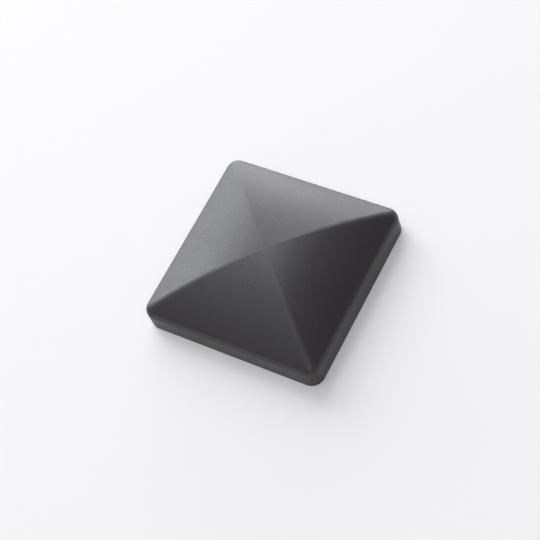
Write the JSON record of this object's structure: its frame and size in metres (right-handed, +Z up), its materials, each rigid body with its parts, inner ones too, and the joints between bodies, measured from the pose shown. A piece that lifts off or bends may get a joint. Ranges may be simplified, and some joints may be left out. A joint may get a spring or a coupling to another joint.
{
  "type": "post cap",
  "caption": "Square slip-over post cap: a thin domed hip-roof shell with rounded hips, eaves and corners and a short upright skirt.",
  "frame": {"origin": "middle of the rim plane, on the post's own axis", "axes": "+Z up, along the post; +X and +Y square to two neighbouring sides of the cap"},
  "size_m": [0.096, 0.096, 0.0254],
  "materials": {
    "powder_coat": "satin"
  },
  "bodies": {
    "root": {"post_cap": "powder_coat"}
  },
  "joints": []
}
